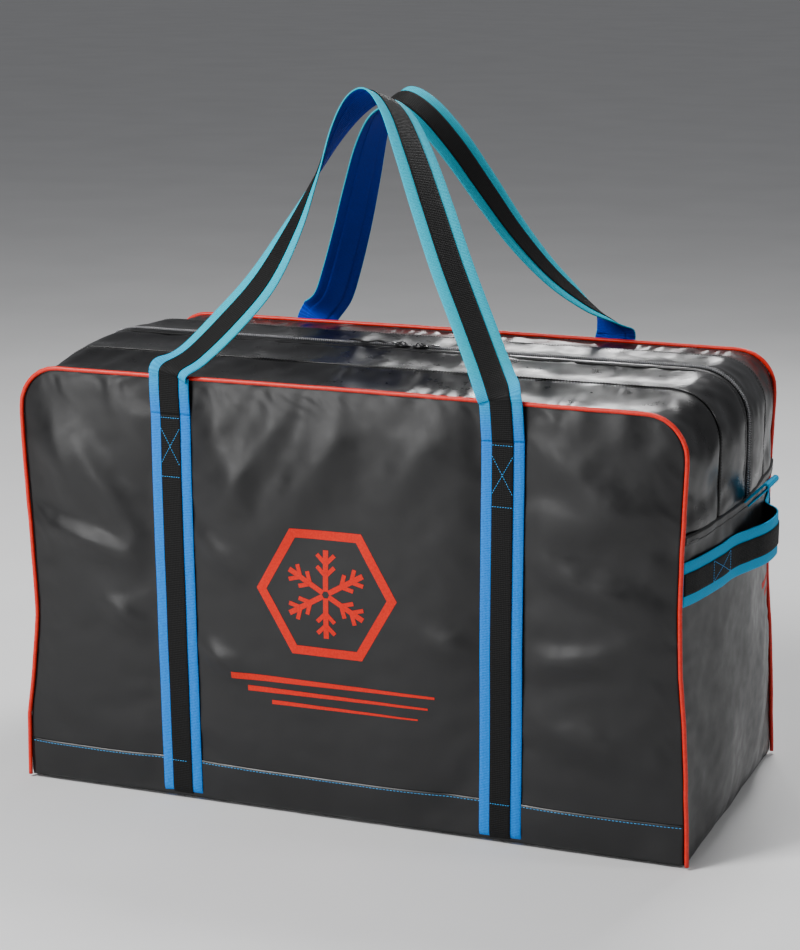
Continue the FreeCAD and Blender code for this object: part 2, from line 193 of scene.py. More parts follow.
def build_shell():
    """Points and faces of the closed shell, each face with the name of its panel."""
    points, faces, panels, numbers = [], [], [], {}

    def number(key, place):
        if key not in numbers:
            numbers[key] = len(points)
            points.append(place)
        return numbers[key]

    stations = depth_stations()
    last = len(stations) - 1
    columns = top_columns + 1

    def across(left, right, column):
        return left.lerp(right, column / columns)

    def arch(j, i):
        """Point i of the arch at station j: up the left end, over the top, down the right end."""
        y = stations[j]
        if i < side_rows:
            return number(("arch", j, i), side_point(i, -1, y))
        if i < side_rows + top_columns:
            left, right = side_point(side_rows - 1, -1, y), side_point(side_rows - 1, 1, y)
            return number(("arch", j, i), across(left, right, i - side_rows + 1))
        row = 2 * side_rows + top_columns - 1 - i
        return number(("arch", j, i), side_point(row, 1, y))

    around = 2 * side_rows + top_columns

    def face_panel(j, row, column):
        y = stations[j]
        if column == 0:
            return arch(j, row)
        if column == columns:
            return arch(j, around - 1 - row)
        if row == side_rows - 1:
            return arch(j, side_rows + column - 1)
        place = across(side_point(row, -1, y), side_point(row, 1, y), column)
        return number(("face", j, row, column), place)

    def bottom(j, column):
        if column == 0:
            return arch(j, 0)
        if column == columns:
            return arch(j, around - 1)
        if j in (0, last):
            return face_panel(j, 0, column)
        y = stations[j]
        return number(("bottom", j, column), across(side_point(0, -1, y), side_point(0, 1, y), column))

    def panel_of(j, i):
        middle = (stations[j] + stations[j + 1]) / 2
        side = "left" if i < side_rows else "right"
        row = min(i, around - 2 - i)
        if row < lower_rows:
            return side + "_end"
        if abs(middle) < zip_edge:
            return "gap"
        way = "front" if middle < 0 else "back"
        if abs(middle) > seam_y:
            return way + "_band"
        on_top = side_rows - 1 <= i <= side_rows + top_columns - 1
        return way + "_zip" if on_top else way + "_zip_" + side

    for j in range(last):
        for i in range(around - 1):
            faces.append((arch(j, i), arch(j, i + 1), arch(j + 1, i + 1), arch(j + 1, i)))
            panels.append(panel_of(j, i))
        for column in range(columns):
            faces.append((bottom(j, column), bottom(j + 1, column), bottom(j + 1, column + 1),
                          bottom(j, column + 1)))
            panels.append("bottom")
    for j, panel in ((0, "front"), (last, "back")):
        for row in range(side_rows - 1):
            for column in range(columns):
                face = (face_panel(j, row, column), face_panel(j, row, column + 1),
                        face_panel(j, row + 1, column + 1), face_panel(j, row + 1, column))
                faces.append(face if j == 0 else face[::-1])
                panels.append(panel)
    return np.array([tuple(point) for point in points]), faces, panels


def near_strap(x):
    """1 under the straps' webbing, 0 away from it."""
    gap = np.min([np.abs(x - place) for place in strap_places], axis=0)
    return 1 - smooth_step(gap, strap_width / 2, strap_width / 2 + 0.025)


def sag(points, faces, panels):
    """Gives the shell its stuffed shape: bellies, folds and dents, with the seams where they were."""
    moved = points.copy()
    members = {panel: np.unique([k for face, name in zip(faces, panels) if name == panel for k in face])
               for panel in set(panels)}
    for panel, out in (("front", -1), ("back", 1)):
        index = members[panel]
        x, z = points[index, 0], points[index, 2]
        edge = smooth_step(np.minimum(half_length + 0.004 - np.abs(x), shoulder - z), 0, 0.055)
        edge = edge * smooth_step(z, base, 0.03)
        lift = 0.0045 * np.exp(-((z - 0.31) / 0.13) ** 2)
        flat = np.stack([x if out < 0 else -x, z], axis=1)
        for start, end, width, height in front_folds:
            away, share = distance_to_line(flat, start, end)
            ridge = fold_height * height * np.exp(-(away / width) ** 2)
            lift += ridge * np.sin(math.pi * (0.1 + 0.8 * share))
        lift += 0.0022 * rough(points[index], 9, 1 if out < 0 else 2)
        lift *= 1 - 0.6 * near_strap(x)
        moved[index, 1] += out * lift * edge
    for side, out in (("left", -1), ("right", 1)):
        index = members[side + "_end"]
        y, z = points[index, 1], points[index, 2]
        edge = smooth_step(half_depth - np.abs(y), 0, 0.045) * smooth_step(hem_height - z, 0, 0.03)
        edge = edge * smooth_step(z, base, 0.03)
        lift = 0.0075 * rough(points[index] * [1, 1, 0.28], 13, 3 + out) * smooth_step(z, 0.36, 0.22)
        lift += 0.0035 * rough(points[index], 10, 5 + out)
        near_grab = np.exp(-((z - grab_middle) / 0.035) ** 2)
        moved[index, 0] += out * (lift * (1 - near_grab) - 0.001 * near_grab) * edge
    for way, out in (("front", -1), ("back", 1)):
        for panel, low, high in ((way + "_band", seam_y, half_depth), (way + "_zip", zip_edge, seam_y)):
            index = members[panel]
            x, y, z = points[index].T
            share = np.clip((np.abs(y) - low) / (high - low), 0, 1)
            between = np.sin(math.pi * share)
            on_top = smooth_step(z, hem_height, 0.47)
            dent = 0.004 * rough(points[index] * [1, 2.2, 1], 8, 5 + out) - 0.0035
            moved[index, 2] += dent * between * on_top
            moved[index, 0] += np.sign(x) * 0.004 * between * (1 - on_top) * np.sin(z * 55)
    return moved


def piece_from(name, points, faces, materials):
    """A mesh object with smooth shading, linked to the scene."""
    mesh = bpy.data.meshes.new(name)
    mesh.from_pydata([tuple(point) for point in points], [], [tuple(face) for face in faces])
    mesh.validate()
    for material in materials:
        mesh.materials.append(material)
    mesh.polygons.foreach_set("use_smooth", [True] * len(mesh.polygons))
    piece = bpy.data.objects.new(name, mesh)
    bpy.context.scene.collection.objects.link(piece)
    return piece


def coordinates(mesh):
    flat = np.zeros(len(mesh.vertices) * 3)
    mesh.vertices.foreach_get("co", flat)
    return flat.reshape(-1, 3)


def normals(mesh):
    return np.array([vertex.normal for vertex in mesh.vertices])


def apply_modifiers(piece):
    """Replaces the piece's mesh with what its modifiers make."""
    graph = bpy.context.evaluated_depsgraph_get()
    made = bpy.data.meshes.new_from_object(piece.evaluated_get(graph))
    piece.modifiers.clear()
    old = piece.data
    piece.data = made
    bpy.data.meshes.remove(old)


def seam_points(faces, panels):
    """Vertices on a seam, where faces of different panels meet."""
    seen = {}
    for face, panel in zip(faces, panels):
        kind = panel.replace("_left", "").replace("_right", "")
        for k in face:
            seen.setdefault(k, set()).add(kind)
    return [k for k, kinds in seen.items() if len(kinds) > 1]


def simulate(points, faces, panels):
    """Lets the cloth settle under a light inner pressure with its seams held."""
    piece = piece_from("cloth_for_simulation", points, faces, [])
    held = piece.vertex_groups.new(name="held")
    held.add(seam_points(faces, panels), 1.0, "REPLACE")
    bottom = [k for face, panel in zip(faces, panels) if panel in ("bottom", "gap") for k in face]
    held.add(sorted(set(bottom)), 1.0, "REPLACE")
    under_straps = [k for k, point in enumerate(points)
                    if abs(point[1]) > half_depth - 0.012 and near_strap(point[0]) > 0.99]
    held.add(under_straps, 1.0, "REPLACE")
    cloth = piece.modifiers.new("cloth", "CLOTH")
    settings = cloth.settings
    settings.quality = 5
    settings.mass = 0.35
    settings.tension_stiffness = 30
    settings.compression_stiffness = 30
    settings.shear_stiffness = 12
    settings.bending_stiffness = 1.5
    settings.vertex_group_mass = "held"
    settings.shrink_min = -0.006
    settings.use_pressure = True
    settings.uniform_pressure_force = 1.5
    settings.effector_weights.gravity = 0.25
    cloth.collision_settings.use_collision = False
    cloth.point_cache.frame_start = 1
    cloth.point_cache.frame_end = cloth_frames
    for number in range(1, cloth_frames + 1):
        bpy.context.scene.frame_set(number)
    graph = bpy.context.evaluated_depsgraph_get()
    settled = coordinates(piece.evaluated_get(graph).data)
    mesh = piece.data
    bpy.data.objects.remove(piece)
    bpy.data.meshes.remove(mesh)
    bpy.context.scene.frame_set(1)
    move = settled - points
    length = np.linalg.norm(move, axis=1, keepdims=True)
    return points + move * np.tanh(length / cloth_cap) * cloth_cap / np.maximum(length, 1e-9)


def part_of_mesh(name, points, faces, materials):
    """A piece made of some of a mesh's faces, and the numbers of the points that it keeps."""
    kept = sorted({k for face in faces for k in face})
    place = {k: number for number, k in enumerate(kept)}
    piece = piece_from(name, points[kept], [[place[k] for k in face] for face in faces], materials)
    return piece, kept


def cut_out(name, points, faces, panels, wanted, material):
    """The piece made of the wanted panels, subdivided to a smooth surface."""
    chosen = [face for face, panel in zip(faces, panels) if panel in wanted]
    piece, _ = part_of_mesh(name, points, chosen, [material])
    modifier = piece.modifiers.new("smooth", "SUBSURF")
    modifier.levels = subdivisions
    modifier.render_levels = subdivisions
    apply_modifiers(piece)
    return piece


def puckers(points, distance, seed, height, spacing):
    """Short gathers square to a seam, fading with the distance from it."""
    place = points[:, 0] + points[:, 2] * 0.8
    wander = rough(points * [1, 0.2, 1], 22, seed)
    wave = np.sin(place * 2 * math.pi / spacing + 9 * wander)
    strength = np.clip(0.30 + 1.3 * rough(points * [1, 0, 1], 8, seed + 9), 0, 1)
    return height * wave * strength * np.exp(-distance / 0.018) * smooth_step(distance, 0.003, 0.013)


def detail_cloth(piece, kind, seed):
    """Finer wrinkles than the simulated cloth holds, and the pinch at each seam."""
    mesh = piece.data
    points, outward = coordinates(mesh), normals(mesh)
    depth = np.abs(points[:, 1])
    move = 0.0005 * rough(points, 45, seed)
    if kind == "face":
        edge = np.minimum(half_length - np.abs(points[:, 0]), shoulder - points[:, 2])
        move += puckers(points, np.clip(edge, 0, 1), seed, height=0.0012, spacing=0.024)
    elif kind == "band":
        height = np.where(points[:, 1] < 0, 0.0040, 0.0022)
        move += puckers(points, half_depth - depth, seed, height=height, spacing=0.021)
        from_seam = np.clip(depth - seam_y, 0, 1)
        move += puckers(points, from_seam, seed + 1, height=0.0012, spacing=0.026)
        move -= 0.0012 * np.exp(-(from_seam / 0.003) ** 2)
    elif kind == "zip":
        move += puckers(points, np.clip(seam_y - depth, 0, 1), seed, height=0.0014, spacing=0.030)
        move += puckers(points, np.clip(depth - zip_edge, 0, 1), seed + 2, height=0.0008, spacing=0.022)
        move -= 0.0010 * np.exp(-((depth - zip_edge - 0.007) / 0.002) ** 2)
    elif kind == "end":
        move += puckers(points, half_depth - depth, seed, height=0.0026, spacing=0.030)
        from_hem = np.clip(hem_height - points[:, 2], 0, 1)
        move += puckers(points, from_hem, seed + 3, height=0.0012, spacing=0.034)
    points += outward * move[:, None]
    mesh.vertices.foreach_set("co", points.ravel())
    mesh.update()


def solidify(piece, thickness, offset=-1):
    """Gives a sheet its thickness, all of it inwards unless offset is 0."""
    modifier = piece.modifiers.new("thickness", "SOLIDIFY")
    modifier.thickness = thickness
    modifier.offset = offset
    apply_modifiers(piece)


# ---------------------------------------------------------------- materials

class Nodes:
    """A short way to write a procedural material."""

    def __init__(self, name, roughness, **sockets):
        self.material = bpy.data.materials.new(name)
        self.material.use_nodes = True
        self.tree = self.material.node_tree
        self.shader = self.tree.nodes["Principled BSDF"]
        self.shader.inputs["Roughness"].default_value = roughness
        for socket, value in sockets.items():
            self.shader.inputs[socket.replace("_", " ")].default_value = value

    def add(self, kind, links=(), **settings):
        node = self.tree.nodes.new(kind)
        for key, value in settings.items():
            if hasattr(node, key):
                setattr(node, key, value)
            else:
                node.inputs[key.replace("_", " ")].default_value = value
        for socket, source in dict(links).items():
            self.tree.links.new(source, node.inputs[socket])
        return node

    def place(self):
        return self.add("ShaderNodeTexCoord").outputs["Object"]

    def noise(self, scale, detail):
        links = {"Vector": self.place()}
        return self.add("ShaderNodeTexNoise", links, Scale=scale, Detail=detail).outputs[0]

    def span(self, value, low, high, start=0.3, end=0.7):
        node = self.add("ShaderNodeMapRange", {"Value": value})
        for socket, number in (("From Min", start), ("From Max", end), ("To Min", low), ("To Max", high)):
            node.inputs[socket].default_value = number
        return node.outputs[0]

    def math(self, operation, first, second):
        node = self.add("ShaderNodeMath", operation=operation)
        for socket, value in zip(node.inputs, (first, second)):
            if isinstance(value, (int, float)):
                socket.default_value = value
            else:
                self.tree.links.new(value, socket)
        return node.outputs[0]

    def mix(self, share, first, second):
        node = self.add("ShaderNodeMix", data_type="RGBA")
        for socket, value in (("Factor_Float", share), ("A_Color", first), ("B_Color", second)):
            target = next(s for s in node.inputs if s.identifier == socket)
            if isinstance(value, tuple):
                target.default_value = (*value, 1)
            else:
                self.tree.links.new(value, target)
        return next(s for s in node.outputs if s.identifier == "Result_Color")

    def colour(self, source):
        self.tree.links.new(source, self.shader.inputs["Base Color"])

    def gloss(self, source):
        self.tree.links.new(source, self.shader.inputs["Roughness"])

    def relief(self, *layers):
        """Bumps, coarse to fine, each (height, distance, strength)."""
        normal = None
        for height, distance, strength in layers:
            node = self.add("ShaderNodeBump", {"Height": height}, Distance=distance, Strength=strength)
            if normal:
                self.tree.links.new(normal, node.inputs["Normal"])
            normal = node.outputs[0]
        self.tree.links.new(normal, self.shader.inputs["Normal"])


def tarpaulin(name, dark, light, roughness, spread, index):
    """Coated cloth: an embossed weave under a smooth film."""
    make = Nodes(name, roughness, IOR=index)
    broad = make.noise(7, 4)
    scuff = make.noise(60, 5)
    make.colour(make.mix(make.span(broad, 0, 1), dark, light))
    make.gloss(make.span(scuff, roughness - spread, roughness + spread))
    weave = make.add("ShaderNodeTexVoronoi", {"Vector": make.place()}, Scale=900.0).outputs[0]
    make.relief((make.noise(95, 3), 0.0004, 0.12), (weave, 0.0001, 0.2))
    return make.material


def uv_wave(make, pitch, along):
    """Ridges across or along a webbing, at that pitch in metres."""
    uv = make.add("ShaderNodeUVMap", uv_map="weave").outputs[0]
    parts = make.add("ShaderNodeSeparateXYZ", {"Vector": uv}).outputs
    turned = make.math("MULTIPLY", parts[1 if along else 0], 2 * math.pi / pitch)
    return make.math("ADD", make.math("MULTIPLY", make.math("SINE", turned, 0.0), 0.5), 0.5)


def webbing_material(name, low, high, roughness, rib, cross, bright=None):
    """Woven polyester: ribs across the webbing, crossed by its warp threads.

    A second pair of colours, if given, is painted light: the lit cyan that the webbing turns to by the
    mesh's own attribute of the same name.
    """
    make = Nodes(name, roughness, IOR=1.2)
    ribs, threads = uv_wave(make, rib, True), uv_wave(make, cross, False)
    weave = make.math("MULTIPLY", ribs, threads)
    fibre = make.noise(420, 4)
    share = make.math("ADD", make.math("MULTIPLY", weave, 0.55), make.math("MULTIPLY", fibre, 0.45))
    spread = make.span(share, 0, 1, 0.15, 0.75)
    colour = make.mix(spread, low, high)
    # Painted light: turns the colour to the lit cyan pair where the mesh asks for it.
    if bright:
        turn = make.add("ShaderNodeAttribute", attribute_name="bright").outputs["Fac"]
        colour = make.mix(turn, colour, make.mix(spread, *bright))
    make.colour(colour)
    make.gloss(make.span(fibre, roughness - 0.1, roughness + 0.1))
    make.relief((ribs, 0.00035, 0.7), (threads, 0.00018, 0.5), (fibre, 0.0001, 0.3))
    return make.material


def plain_material(name, dark, light, roughness, scale, bump, **sockets):
    """A moulded, enamelled or spun surface with its own grain."""
    make = Nodes(name, roughness, **sockets)
    grain = make.noise(scale, 4)
    make.colour(make.mix(make.span(grain, 0, 1), dark, light))
    make.gloss(make.span(make.noise(scale / 3, 3), roughness - 0.07, roughness + 0.07))
    make.relief((grain, bump, 0.35))
    return make.material


satin = tarpaulin("tarpaulin_satin", (0.0035, 0.0035, 0.0038), (0.0075, 0.0075, 0.0080), 0.38, 0.05, 1.42)
gloss = tarpaulin("tarpaulin_gloss", (0.0015, 0.0015, 0.0017), (0.003, 0.003, 0.0033), 0.31, 0.05, 1.42)
# Azure webbing; its second, cyan pair is painted light, used higher up the handles and on the ends.
blue = webbing_material("webbing_azure", (0.0, 0.12, 0.46), (0.0, 0.23, 0.76), 0.65, 0.0019, 0.0016,
                        ((0.0, 0.28, 0.40), (0.0, 0.50, 0.64)))
# Painted shade: the webbing's under face is a darker royal copy of its azure.
under = webbing_material("webbing_under_face_painted_shade", (0.0, 0.014, 0.20), (0.0, 0.040, 0.50), 0.7, 0.0019, 0.0016)
black = webbing_material("webbing_black", (0.002, 0.002, 0.002), (0.014, 0.014, 0.014), 0.6, 0.0022, 0.0020)
tape_cloth = webbing_material("zip_tape_cloth", (0.002, 0.002, 0.002), (0.010, 0.010, 0.010), 0.7, 0.0010,
                              0.0009)
orange = plain_material("piping_vinyl", (0.46, 0.005, 0.001), (0.60, 0.012, 0.001), 0.42, 260, 0.0002,
                        Specular_IOR_Level=0.35)
print_ink = plain_material("print_ink", (0.46, 0.006, 0.001), (0.58, 0.012, 0.001), 0.6, 500, 0.0001,
                           Specular_IOR_Level=0.2)
dark_thread = plain_material("thread_black", (0.012, 0.012, 0.012), (0.05, 0.05, 0.05), 0.55, 900, 0.0001)
blue_thread = plain_material("thread_blue", (0.0, 0.22, 0.62), (0.03, 0.42, 0.85), 0.55, 900, 0.0001)
coil_nylon = plain_material("zip_coil_nylon", (0.10, 0.10, 0.105), (0.22, 0.22, 0.23), 0.35, 700, 0.0001)
enamel = plain_material("enamelled_metal", (0.006, 0.006, 0.007), (0.015, 0.015, 0.016), 0.24, 350, 0.0001,
                        Metallic=0.6, Coat_Weight=0.5)


# ---------------------------------------------------------------- threads

class Surface:
    """A finished mesh that threads and prints are laid on."""

    def __init__(self, piece):
        mesh = piece.data
        self.tree = BVHTree.FromPolygons(
            [vertex.co for vertex in mesh.vertices], [tuple(face.vertices) for face in mesh.polygons]
        )

    def nearest(self, point):
        place, normal, _, _ = self.tree.find_nearest(Vector(point))
        return place, normal

    def hit(self, point, direction):
        place, normal, _, _ = self.tree.ray_cast(Vector(point), Vector(direction))
        return place, normal


def evenly(points, pitch):
    """Points at an even pitch along a line of points."""
    points = np.array([tuple(point) for point in points], float)
    steps = np.linalg.norm(np.diff(points, axis=0), axis=1)
    total = np.concatenate([[0], np.cumsum(steps)])
    count = max(2, round(total[-1] / pitch) + 1)
    wanted = np.linspace(0, total[-1], count)
    return np.stack([np.interp(wanted, total, points[:, k]) for k in range(3)], axis=1)


def ring_faces(first, rings, around):
    """Faces of a bar whose points start at number first: its sides, then its two ends."""
    faces = []
    for ring in range(rings - 1):
        for k in range(around):
            a, b = first + ring * around + k, first + ring * around + (k + 1) % around
            faces.append((a, b, b + around, a + around))
    faces.append(tuple(first + k for k in range(around))[::-1])
    faces.append(tuple(first + (rings - 1) * around + k for k in range(around)))
    return faces


def grid_faces(rows, columns, first=0, flip=False):
    """Faces of a grid whose points start at number first, row by row."""
    faces = [(a, a + 1, a + columns + 1, a + columns)
             for r in range(rows - 1) for a in range(first + r * columns, first + (r + 1) * columns - 1)]
    return [face[::-1] for face in faces] if flip else faces


def stitches(line, surface, pitch=0.0036, radius=0.00035):
    """Points and faces of a row of short threads that lie on a surface along a line."""
    places = evenly(line, pitch)
    points, faces = [], []
    around = 5
    rings = ((-1, 0.35), (-0.6, 1), (0.6, 1), (1, 0.35))
    for start, end in zip(places[:-1], places[1:]):
        middle, normal = surface.nearest((start + end) / 2)
        along = Vector(end - start)
        if along.length < 1e-6:
            continue
        half = along * 0.34
        side = along.normalized().cross(normal).normalized()
        faces += ring_faces(len(points), len(rings), around)
        for share, size in rings:
            centre = middle + half * share + normal * radius * (1.1 * size - 0.3)
            for k in range(around):
                angle = 2 * math.pi * k / around
                turn = side * math.cos(angle) + normal * math.sin(angle)
                points.append(centre + turn * radius * size)
    return points, faces


def join(piece, points, faces, material):
    """Adds more points and faces to a piece, in a material of their own."""
    extra = piece_from(piece.name + "_more", points, faces, [material])
    with bpy.context.temp_override(active_object=piece, selected_editable_objects=[piece, extra]):
        bpy.ops.object.join()


def sew(piece, lines, material, surface=None, **settings):
    """Rows of stitches that become part of the piece."""
    surface = surface or Surface(piece)
    points, faces = [], []
    for line in lines:
        more_points, more_faces = stitches(line, surface, **settings)
        faces += [tuple(k + len(points) for k in face) for face in more_faces]
        points += more_points
    join(piece, points, faces, material)


def thrown(surface, start, end, direction, count=24):
    """A straight line thrown onto a surface."""
    hits = [surface.hit(Vector(start).lerp(Vector(end), k / count), direction)[0] for k in range(count + 1)]
    return [place for place in hits if place]


def arch_line(y, inset=0.0, low=lower_rows):
    """A line over the bag at y, between row low of its two ends, which is the hem by default."""
    left = [side_point(row, -1, y) for row in range(low, side_rows)]
    right = [side_point(row, 1, y) for row in range(low, side_rows)][::-1]
    middle = Vector((0, y, shoulder / 2))
    points = left + [left[-1].lerp(right[0], k / 40) for k in range(1, 40)] + right
    if inset:
        points = [point + (middle - point).normalized() * inset for point in points]
    return points


# ---------------------------------------------------------------- webbing

def blended(values, place):
    """A smooth curve through evenly spaced values, at a place counted in stations."""
    last = len(values) - 1
    index = min(int(place), last - 1)
    t = place - index
    before, start, end = values[max(index - 1, 0)], values[index], values[index + 1]
    after = values[min(index + 2, last)]
    bend = (before * 2 - start * 5 + end * 4 - after) * t ** 2
    twist = (start * 3 - before - end * 3 + after) * t ** 3
    return (start * 2 + (end - before) * t + bend + twist) / 2


def section(width, thickness, columns):
    """Outline of a webbing's section as (across, up, is under), with its woven edges rounded."""
    half, top = width / 2, thickness / 2
    inner = half - top * 0.8
    over = [(-inner + 2 * inner * k / columns, top, False) for k in range(columns + 1)]
    right = [(half - top * 0.25, top * 0.6, False), (half, 0, False), (half - top * 0.25, -top * 0.6, False)]
    below = [(-across, -up, True) for across, up, _ in over]
    left = [(-across, -up, False) for across, up, _ in right]
    return over + right + below + left


def webbing(name, stations, width, thickness, raise_by, materials, columns=8):
    """Flat webbing along stations (middle, across, outward, share of painted light), with woven edges.

    materials are the outer face's and the under face's.
    """
    outline = section(width, thickness, columns)
    count = len(outline)
    points, uv, faces, finish = [], [], [], []
    travelled = 0.0
    for number, (middle, across, outward, bright) in enumerate(stations):
        if number:
            travelled += (middle - stations[number - 1][0]).length
        for side, up, _ in outline:
            points.append(middle + across * side + outward * (up + raise_by))
            uv.append((side, travelled))
    for ring in range(len(stations) - 1):
        for k in range(count):
            after = (k + 1) % count
            a, b = ring * count + k, ring * count + after
            faces.append((a, a + count, b + count, b))
            finish.append(1 if outline[k][2] and outline[after][2] else 0)
    faces.append(tuple(range(count)))
    faces.append(tuple(range((len(stations) - 1) * count, len(stations) * count))[::-1])
    finish += [0, 0]
    piece = piece_from(name, points, faces, materials)
    piece.data.polygons.foreach_set("material_index", finish)
    layer = piece.data.uv_layers.new(name="weave")
    for loop in piece.data.loops:
        layer.data[loop.index].uv = uv[loop.vertex_index]
    # Painted light: how far each point turns to the webbing's lit cyan tint.
    bright = piece.data.attributes.new("bright", "FLOAT", "POINT")
    bright.data.foreach_set("value", [float(station[3]) for station in stations for _ in outline])
    return piece


def outward_of(along, across, side):
    return along.cross(across).normalized() * side


def direction_at(points, number):
    """Which way a line of points runs at one of them."""
    return (points[min(number + 1, len(points) - 1)] - points[max(number - 1, 0)]).normalized()


def striped_webbing(name, stations, inner):
    """Blue webbing, its under face in the inner material, and the ribbed stripe along it."""
    strap = webbing(name + "_webbing", stations, strap_width, webbing_thickness, 0, [blue, inner])
    stripe = webbing(name + "_ribbed_stripe", stations, stripe_width, stripe_thickness, stripe_rise,
                     [black, black])
    return strap, stripe


def route_stations(route, side, spans=8):
    """Stations of a carry handle from its route of (middle, across) in millimetres."""
    middles = [Vector(middle) * 0.001 for middle, _ in route]
    widths = [Vector(width) for _, width in route]
    stations = []
    count = (len(route) - 1) * spans
    for number in range(count + 1):
        place = number / spans
        nudge = 0.05
        ahead = blended(middles, min(place + nudge, len(route) - 1))
        behind = blended(middles, max(place - nudge, 0))
        along = (ahead - behind).normalized()
        across = blended(widths, place)
        across = (across - along * across.dot(along)).normalized()
        middle = blended(middles, place)
        # The last value is painted light: the webbing turns to its lit cyan tint from the top of the straps
        # up to the handle's top.
        stations.append((middle, across, outward_of(along, across, side),
                         float(smooth_step(middle.z, box_top, shoulder + 0.05))))
    return stations


# Stations of the carry handles in millimetres: middle of the webbing, then the direction across
# it. The inner ones come from a fit to the photo that another script printed, partly adjusted.
carry_root = 466
front_handle_route = (
    ((-209, -207, carry_root), (-1, 0, 0)),
    ((-209, -209.5, 505), (-1, 0, 0)),
    ((-205, -209, 519), (-1, 0, 0)),
    ((-186, -190, 534), (-0.87, 0.43, 0.24)),
    ((-158, -162, 568), (-0.85, 0.43, 0.31)),
    ((-128, -130, 612), (-0.87, 0.44, 0.21)),
    ((-105, -100, 666), (-0.78, 0.62, 0)),
    ((-88, -68, 722), (-0.51, 0.83, -0.24)),
    ((-73, -38, 774), (-0.14, 0.91, -0.39)),
    ((-52, -23, 809), (0.16, 0.9, -0.41)),
    ((-26, -24, 820), (0.31, 0.89, -0.32)),
    ((4, -41, 802), (0.49, 0.86, -0.16)),
    ((36, -70, 760), (0.66, 0.75, 0)),
    ((71, -104, 704), (0.76, 0.64, 0.12)),
    ((107, -138, 644), (0.78, 0.61, 0.15)),
    ((144, -168, 585), (0.78, 0.6, 0.13)),
    ((173, -193, 540), (0.84, 0.53, 0.1)),
    ((188, -209, 519), (1, 0, 0)),
    ((191, -209.5, 505), (1, 0, 0)),
    ((193, -207, carry_root), (1, 0, 0)),
)
back_handle_route = (
    ((-209, 207, carry_root), (-1, 0, 0)),
    ((-208, 209.5, 505), (-1, 0, 0)),
    ((-200, 209, 519), (-1, 0, 0)),
    ((-175, 192, 543), (-0.87, -0.46, 0.16)),
    ((-154, 171, 581), (-0.83, -0.54, 0.11)),
    ((-126, 139, 640), (-0.77, -0.63, 0.02)),
    ((-99, 106, 702), (-0.67, -0.73, -0.09)),
    ((-73, 73, 759), (-0.51, -0.84, -0.2)),
    ((-47, 46, 799), (-0.33, -0.89, -0.32)),
    ((-20, 32, 813), (-0.24, -0.87, -0.43)),
    ((10, 32, 798), (-0.27, -0.82, -0.51)),
    ((40, 50, 759), (-0.29, -0.79, -0.54)),
    ((68, 78, 707), (-0.24, -0.81, -0.54)),
    ((98, 110, 650), (-0.08, -0.84, -0.53)),
    ((131, 141, 600), (0.13, -0.87, -0.48)),
    ((164, 169, 563), (0.37, -0.87, -0.33)),
    ((188, 194, 538), (0.72, -0.68, -0.1)),
    ((196, 209, 519), (1, 0, 0)),
    ((194, 209.5, 505), (1, 0, 0)),
    ((193, 207, carry_root), (1, 0, 0)),
)
# Route of a grab handle in millimetres: place along the end, then how far it stands off
grab_route = (
    (-199, 1.8), (-150, 1.6), (-100, 1.6), (-60, 1.7), (-25, 9), (0, 16),
    (30, 21.5), (58, 23), (80, 18), (96, 8), (112, 1.7), (155, 1.6), (199, 1.8),
)


def carry_handle(way, route, side):
    """A carry handle with its stripe and inner band, rising from the top of the sewn straps."""
    stations = route_stations(route, side)
    strap, stripe = striped_webbing(way + "_handle", stations, under)
    inner = (webbing_thickness + inner_band_thickness) / 2
    # The inner band wears the under face's painted shade colour.
    band = webbing(way + "_handle_inner_band", stations, stripe_width, inner_band_thickness, -inner,
                   [under, under])
    for piece, slot, node in ((strap, "webbing_blue", way + "_handle"),
                              (stripe, "webbing_black", way + "_handle_stripe"),
                              (band, "webbing_blue", None)):
        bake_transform(piece)
        if node:
            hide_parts(node)


def strap_stations(place, surfaces, lean):
    """Stations of a sewn strap: down the front, under the bag and up the back.

    lean is how far the strap drifts along the bag on its way down.
    """
    path = []
    turn, stand_off = 0.014, 0.0015
    for way in (-1, 1):
        run = []
        for z in np.linspace(box_top + 0.008, 0.016, 50):
            x = place + lean * (1 - z / box_top)
            reach = []
            for side in (-0.45, 0, 0.45):
                hit, _ = surfaces[way].hit((x + side * strap_width, way * far_y, z), (0, -way, 0))
                reach.append(abs(hit.y) if hit else half_depth)
            run.append([x, way * max(reach), z])
        run = np.array(run)
        padded = np.pad(run[:, 1], 3, mode="edge")
        run[:, 1] = np.convolve(padded, np.ones(7) / 7, mode="valid") + way * stand_off
        join_share = smooth_step(run[:, 2], box_top - 0.05, box_top)
        run[:, 1] += (way * handle_root_y - run[:, 1]) * join_share
        low = strap_low.z + webbing_thickness / 2
        x, y, z = run[-1]
        bend = [[x, y - way * turn * (1 - math.cos(angle)), z - (z - low) * math.sin(angle)]
                for angle in (k * math.pi / 12 for k in range(1, 7))]
        path.append(np.vstack([run, bend]))
    under_bag = np.linspace(path[0][-1], path[1][-1], 30)[1:-1]
    points = [Vector(point) for point in np.vstack([path[0], under_bag, path[1][::-1]])]
    stations = []
    for number, middle in enumerate(points):
        along = direction_at(points, number)
        across = Vector((1, 0, 0))
        across = (across - along * across.dot(along)).normalized()
        stations.append((middle, across, outward_of(along, across, 1), 0))
    return stations


def box_stitch(x, y, top, height, half_width):
    """Lines of the sewn box with its cross, on a face square to Y."""
    low = top - height
    inner_top, inner_low = top - 0.012, low + 0.014
    pairs = (((-1, top), (1, top)), ((-1, low), (1, low)),
             ((-1, inner_top), (1, inner_low)), ((1, inner_top), (-1, inner_low)))
    return [[Vector((x + a * half_width, y, za)), Vector((x + b * half_width, y, zb))]
            for (a, za), (b, zb) in pairs]


